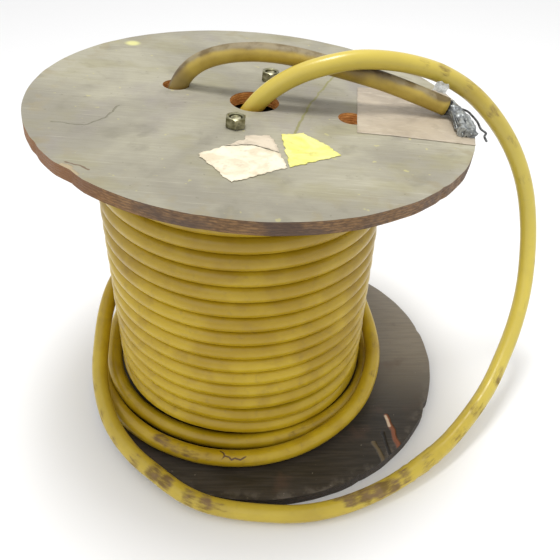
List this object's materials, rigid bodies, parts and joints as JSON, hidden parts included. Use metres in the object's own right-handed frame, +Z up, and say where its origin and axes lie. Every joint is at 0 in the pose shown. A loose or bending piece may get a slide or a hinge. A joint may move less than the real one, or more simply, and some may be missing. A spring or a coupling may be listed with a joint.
{
  "type": "cable reel",
  "caption": "Small plywood cable reel standing on one flange, wound with thick yellow cable whose free outer end loops back into the top arbor hole.",
  "frame": {"origin": "centre of the bottom flange's underside, on which the reel stands", "axes": "+Z up along the reel's axis; -Y is the front, where the outer end of the cable lies on the ground; +X is to the right, seen from the front"},
  "size_m": [0.4478, 0.3752, 0.3387],
  "materials": {
    "worn_plywood": "weathered and scratched, raw layered edge",
    "dirty_plywood": "grey-brown with dirt, gouged",
    "paperboard": "plain",
    "zinc": "dull zinc plate",
    "cable_jacket": "satin yellow with scuffs and dirt",
    "grubby_jacket": "yellow under brown grime",
    "cable_screen": "crumpled and frayed",
    "tinned_wire": "dull",
    "clear_tape": "clear and wrinkled",
    "white_paper": "torn and dusty",
    "grey_paper": "torn and dusty",
    "yellow_paper": "torn",
    "beige_tape": "aged and wrinkled"
  },
  "bodies": {
    "root": {"bottom_flange": "dirty_plywood", "top_flange": "worn_plywood", "core_tube": "paperboard", "tie_bolt_front": "zinc", "tie_bolt_back": "zinc", "nut_front": "zinc", "nut_back": "zinc", "winding_layer_1": "cable_jacket", "winding_layer_2": "cable_jacket", "winding_layer_3": "cable_jacket", "winding_loose_turn": "cable_jacket", "winding_last_turn": "cable_jacket", "outer_tail": "cable_jacket", "inner_tail": "grubby_jacket", "screen_bundle": "cable_screen", "drain_wire": "tinned_wire", "tape_flag": "clear_tape", "white_label": "white_paper", "grey_label": "grey_paper", "yellow_label": "yellow_paper", "packing_tape": "beige_tape"}
  },
  "joints": []
}
